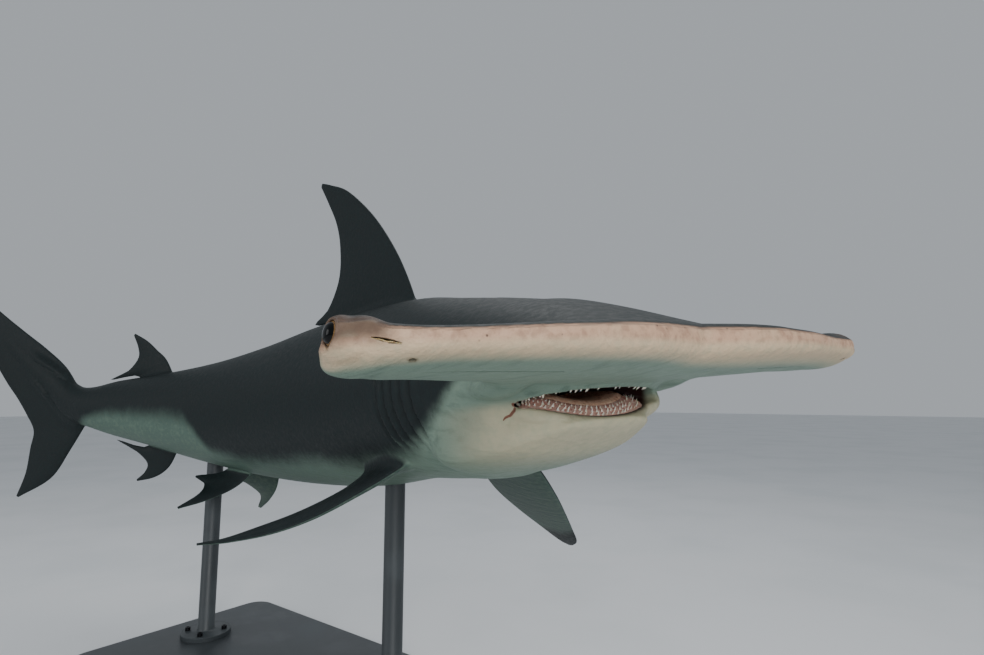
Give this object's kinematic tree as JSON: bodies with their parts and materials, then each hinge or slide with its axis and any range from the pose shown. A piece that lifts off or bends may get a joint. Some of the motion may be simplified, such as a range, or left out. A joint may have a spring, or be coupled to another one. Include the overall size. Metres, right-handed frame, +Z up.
{
  "type": "great hammerhead shark model on a display stand",
  "caption": "Life-size still model of a great hammerhead shark, bent in a swimming turn with its mouth a little open, held by rods above a flat display base.",
  "frame": {"origin": "centre of the display base's underside, on the floor", "axes": "+X towards the head along the middle of the body, +Y to the animal's left, +Z up"},
  "size_m": [3.2329, 1.2068, 1.4529],
  "materials": {
    "skin": "satin shark skin, dark grey-green above and cream below",
    "fin_skin": "satin shark skin on the fins",
    "eye": "wet glossy eye",
    "stand_steel": "satin dark grey powder coat"
  },
  "bodies": {
    "root": {"head": "skin", "lower_jaw": "skin", "neck": "skin", "torso": "skin", "hind_body": "skin", "tail_stalk": "skin", "caudal_fin": "fin_skin", "first_dorsal_fin": "fin_skin", "second_dorsal_fin": "fin_skin", "anal_fin": "fin_skin", "pectoral_fin_right": "fin_skin", "pectoral_fin_left": "fin_skin", "pelvic_fin_right": "fin_skin", "pelvic_fin_left": "fin_skin", "eye_right": "eye", "eye_left": "eye", "stand_base": "stand_steel", "stand_rod_front": "stand_steel", "stand_rod_rear": "stand_steel"}
  },
  "joints": []
}
